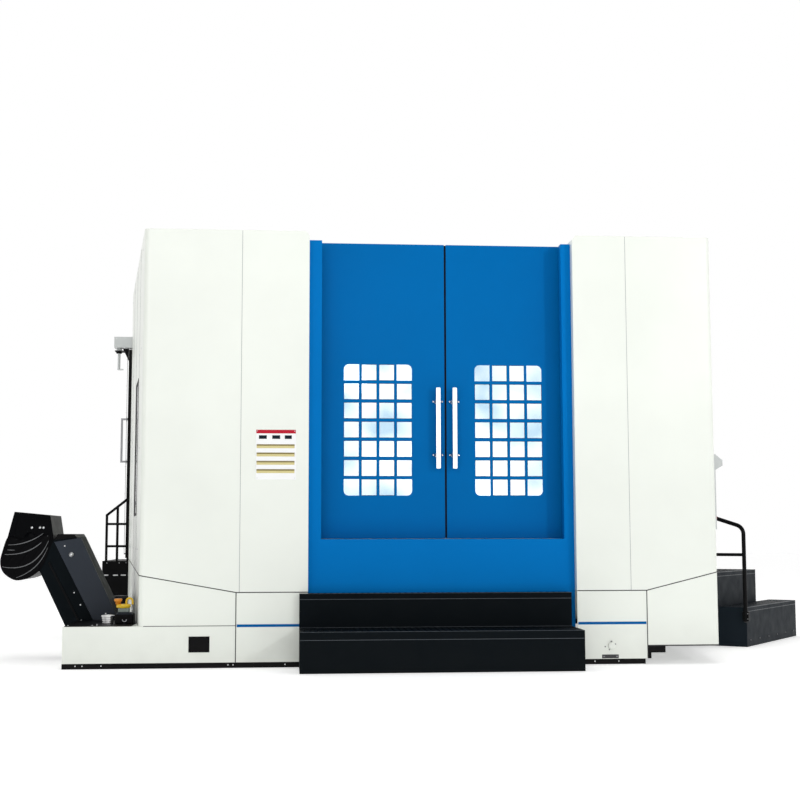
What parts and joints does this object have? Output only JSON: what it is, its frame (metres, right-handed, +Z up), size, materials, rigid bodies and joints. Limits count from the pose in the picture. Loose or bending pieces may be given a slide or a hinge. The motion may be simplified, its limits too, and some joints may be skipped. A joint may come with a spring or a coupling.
{
  "type": "cnc machining center",
  "caption": "Horizontal machining centre: cabinet casing with sliding windowed doors, turning pallet, travelling column, tool changer, chip conveyor, steps and electrical cabinet.",
  "frame": {"origin": "on the floor, in the middle of the front bay, in the plane of the cabinet fronts (underside of the front steps)", "axes": "+X to the operator's right, +Y to the back of the machine, +Z up"},
  "size_m": [7.802, 6.2808, 3.6],
  "materials": {
    "casing_white": "semi-gloss powder coat, fine orange peel",
    "bay_blue": "semi-gloss powder coat",
    "door_blue": "semi-gloss powder coat",
    "window_glass": "clear laminated",
    "bright_steel": "brushed",
    "step_navy": "textured powder coat",
    "black_paint": "satin powder coat",
    "light_grey": "satin powder coat",
    "galvanised": "zinc plated",
    "casting_grey": "painted casting",
    "ground_steel": "ground",
    "motor_black": "satin",
    "pump_orange": "gloss",
    "stop_red": "moulded",
    "start_green": "moulded"
  },
  "bodies": {
    "machine_frame": {"bay_posts": "bay_blue", "bed": "casting_grey", "bed_drives": "motor_black", "bed_rails": "ground_steel", "console_housing": "light_grey", "conveyor_casing": "step_navy", "conveyor_drive": "motor_black", "conveyor_hood": "black_paint", "coolant_pumps": "pump_orange", "coolant_tank": "casing_white", "door_tracks": "galvanised", "electrical_cabinet": "casing_white", "front_steps": "step_navy", "left_corner_panel": "casing_white", "left_door_frame": "black_paint", "left_inner_panel": "casing_white", "left_lower_panels": "casing_white", "left_platform": "black_paint", "left_rail": "black_paint", "left_rear_wall": "casing_white", "left_side_panel": "casing_white", "left_side_window": "window_glass", "levelling_feet": "galvanised", "magazine_frame": "casting_grey", "overhead_arm": "light_grey", "plinth": "black_paint", "rear_casing": "casing_white", "right_corner_panel": "casing_white", "right_handrail": "black_paint", "right_inner_panel": "casing_white", "right_lower_panels": "casing_white", "right_side_panel": "casing_white", "right_stairs": "step_navy", "sill_panel": "bay_blue"},
    "left_door": {"door_left": "door_blue", "door_left_glass": "window_glass", "door_left_fittings": "bright_steel"},
    "right_door": {"door_right": "door_blue", "door_right_glass": "window_glass", "door_right_fittings": "bright_steel"},
    "service_door": {"left_side_door": "casing_white", "left_side_handle": "bright_steel"},
    "pendant": {"pendant_tube": "light_grey"},
    "saddle": {"table_saddle": "casting_grey"},
    "rotary": {"rotary_table": "casting_grey", "pallet": "ground_steel"},
    "table_feed_screw": {"table_screw": "ground_steel"},
    "column_feed_screw": {"column_screw": "ground_steel"},
    "column": {"column": "casting_grey", "head_rails": "ground_steel", "head_drives": "motor_black"},
    "head_feed_screw": {"head_screw": "ground_steel"},
    "headstock": {"headstock": "casting_grey"},
    "spindle": {"spindle": "ground_steel"},
    "tool_disc": {"tool_disc": "ground_steel"},
    "changer_arm": {"changer_arm": "ground_steel"},
    "conveyor_shaft": {"conveyor_shaft": "ground_steel"},
    "cabinet_door": {"cabinet_door": "casing_white"},
    "emergency_stop": {"emergency_stop": "stop_red"},
    "start_button": {"start_button": "start_green"}
  },
  "joints": [
    {"name": "left_door_slide", "type": "slide", "parent": "machine_frame", "child": "left_door", "axis": [-1, 0, 0], "range_m": [0, 0.95]},
    {"name": "right_door_slide", "type": "slide", "parent": "machine_frame", "child": "right_door", "axis": [1, 0, 0], "range_m": [0, 0.93]},
    {"name": "service_door_hinge", "type": "hinge", "parent": "machine_frame", "child": "service_door", "pos_m": [-2.98658, 4.14, 1.9], "axis": [0, 0, 1], "range_deg": [-100, 0]},
    {"name": "pendant_swivel", "type": "hinge", "parent": "machine_frame", "child": "pendant", "pos_m": [-3.08, 3.195, 3.035], "axis": [0, 0, 1], "range_deg": [-180, 0]},
    {"name": "table_slide", "type": "slide", "parent": "machine_frame", "child": "saddle", "axis": [0, 1, 0], "range_m": [-0.4, 0.4]},
    {"name": "pallet_turn", "type": "hinge", "parent": "saddle", "child": "rotary", "pos_m": [0, 2.15, 1.135], "axis": [0, 0, 1], "continuous": true},
    {"name": "column_slide", "type": "slide", "parent": "machine_frame", "child": "column", "axis": [1, 0, 0], "range_m": [-0.65, 0.65]},
    {"name": "head_slide", "type": "slide", "parent": "column", "child": "headstock", "axis": [0, 0, 1], "range_m": [-0.38, 0.6]},
    {"name": "spindle_turn", "type": "hinge", "parent": "headstock", "child": "spindle", "pos_m": [0, 2.7, 1.8], "axis": [0, 1, 0], "continuous": true},
    {"name": "table_screw_turn", "type": "hinge", "parent": "machine_frame", "child": "table_feed_screw", "pos_m": [0, 2.15, 0.64], "axis": [0, 1, 0], "continuous": true},
    {"name": "column_screw_turn", "type": "hinge", "parent": "machine_frame", "child": "column_feed_screw", "pos_m": [0, 4.295, 0.64], "axis": [1, 0, 0], "continuous": true},
    {"name": "head_screw_turn", "type": "hinge", "parent": "column", "child": "head_feed_screw", "pos_m": [0.305, 4.01, 1.8], "axis": [0, 0, 1], "continuous": true},
    {"name": "tool_disc_turn", "type": "hinge", "parent": "machine_frame", "child": "tool_disc", "pos_m": [-1.9, 3.26, 2.3], "axis": [0, 1, 0], "continuous": true},
    {"name": "changer_arm_swing", "type": "hinge", "parent": "machine_frame", "child": "changer_arm", "pos_m": [-1.025, 2.98, 2.3], "axis": [0, 1, 0], "range_deg": [0, 180]},
    {"name": "conveyor_shaft_turn", "type": "hinge", "parent": "machine_frame", "child": "conveyor_shaft", "pos_m": [-3.5, 0.8, 1.04], "axis": [0, 1, 0], "continuous": true},
    {"name": "cabinet_door_hinge", "type": "hinge", "parent": "machine_frame", "child": "cabinet_door", "pos_m": [1.398, 5.7408, 1.15], "axis": [0, 0, 1], "range_deg": [-120, 0]},
    {"name": "emergency_stop_push", "type": "slide", "parent": "machine_frame", "child": "emergency_stop", "axis": [-0.9895, 0.1444, 0], "range_m": [0, 0.006], "stiffness_N_per_m": 800},
    {"name": "start_button_push", "type": "slide", "parent": "machine_frame", "child": "start_button", "axis": [-0.9895, 0.1444, 0], "range_m": [0, 0.005], "stiffness_N_per_m": 600}
  ],
  "couplings": [
    {"joint": "table_screw_turn", "follows": "table_slide", "rad_per_m": 314.16},
    {"joint": "column_screw_turn", "follows": "column_slide", "rad_per_m": 314.16},
    {"joint": "head_screw_turn", "follows": "head_slide", "rad_per_m": 314.16}
  ]
}
